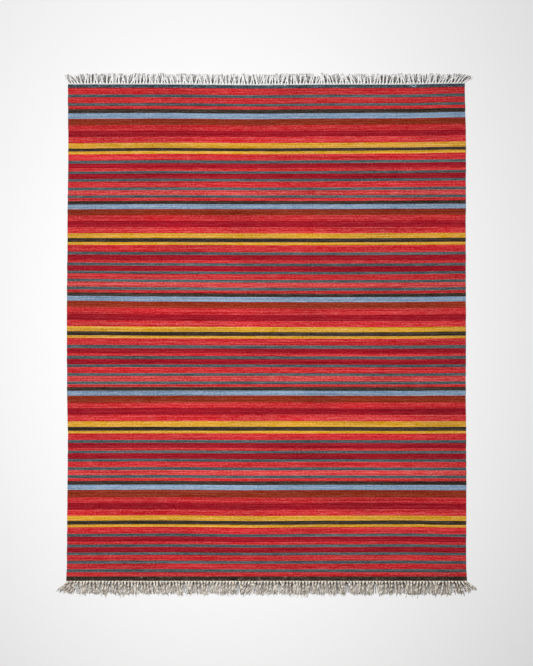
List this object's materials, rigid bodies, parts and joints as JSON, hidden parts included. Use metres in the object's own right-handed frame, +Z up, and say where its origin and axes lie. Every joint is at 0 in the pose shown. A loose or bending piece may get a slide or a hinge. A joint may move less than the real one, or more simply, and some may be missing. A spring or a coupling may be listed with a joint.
{
  "type": "flat-woven kilim rug",
  "caption": "Rectangular flat-woven wool kilim with horizontal stripes in reds, blues, mustard and brown, twined end rows and knotted cotton fringes, lying flat.",
  "frame": {"origin": "middle of the floor rectangle that the rug and its fringes cover, at floor level", "axes": "+X across the rug along its wefts, +Y along its warps to the end with the slate rows, +Z up from the floor"},
  "size_m": [2.547, 3.1924, 0.008],
  "materials": {
    "wool_field": "matt weft-faced wool",
    "pale_warp": "soft cotton yarn ends, off-white",
    "grey_warp": "soft cotton yarn ends, grey beige"
  },
  "bodies": {
    "root": {"woven_field": "wool_field", "far_fringe": "pale_warp", "near_fringe": "grey_warp"}
  },
  "joints": []
}
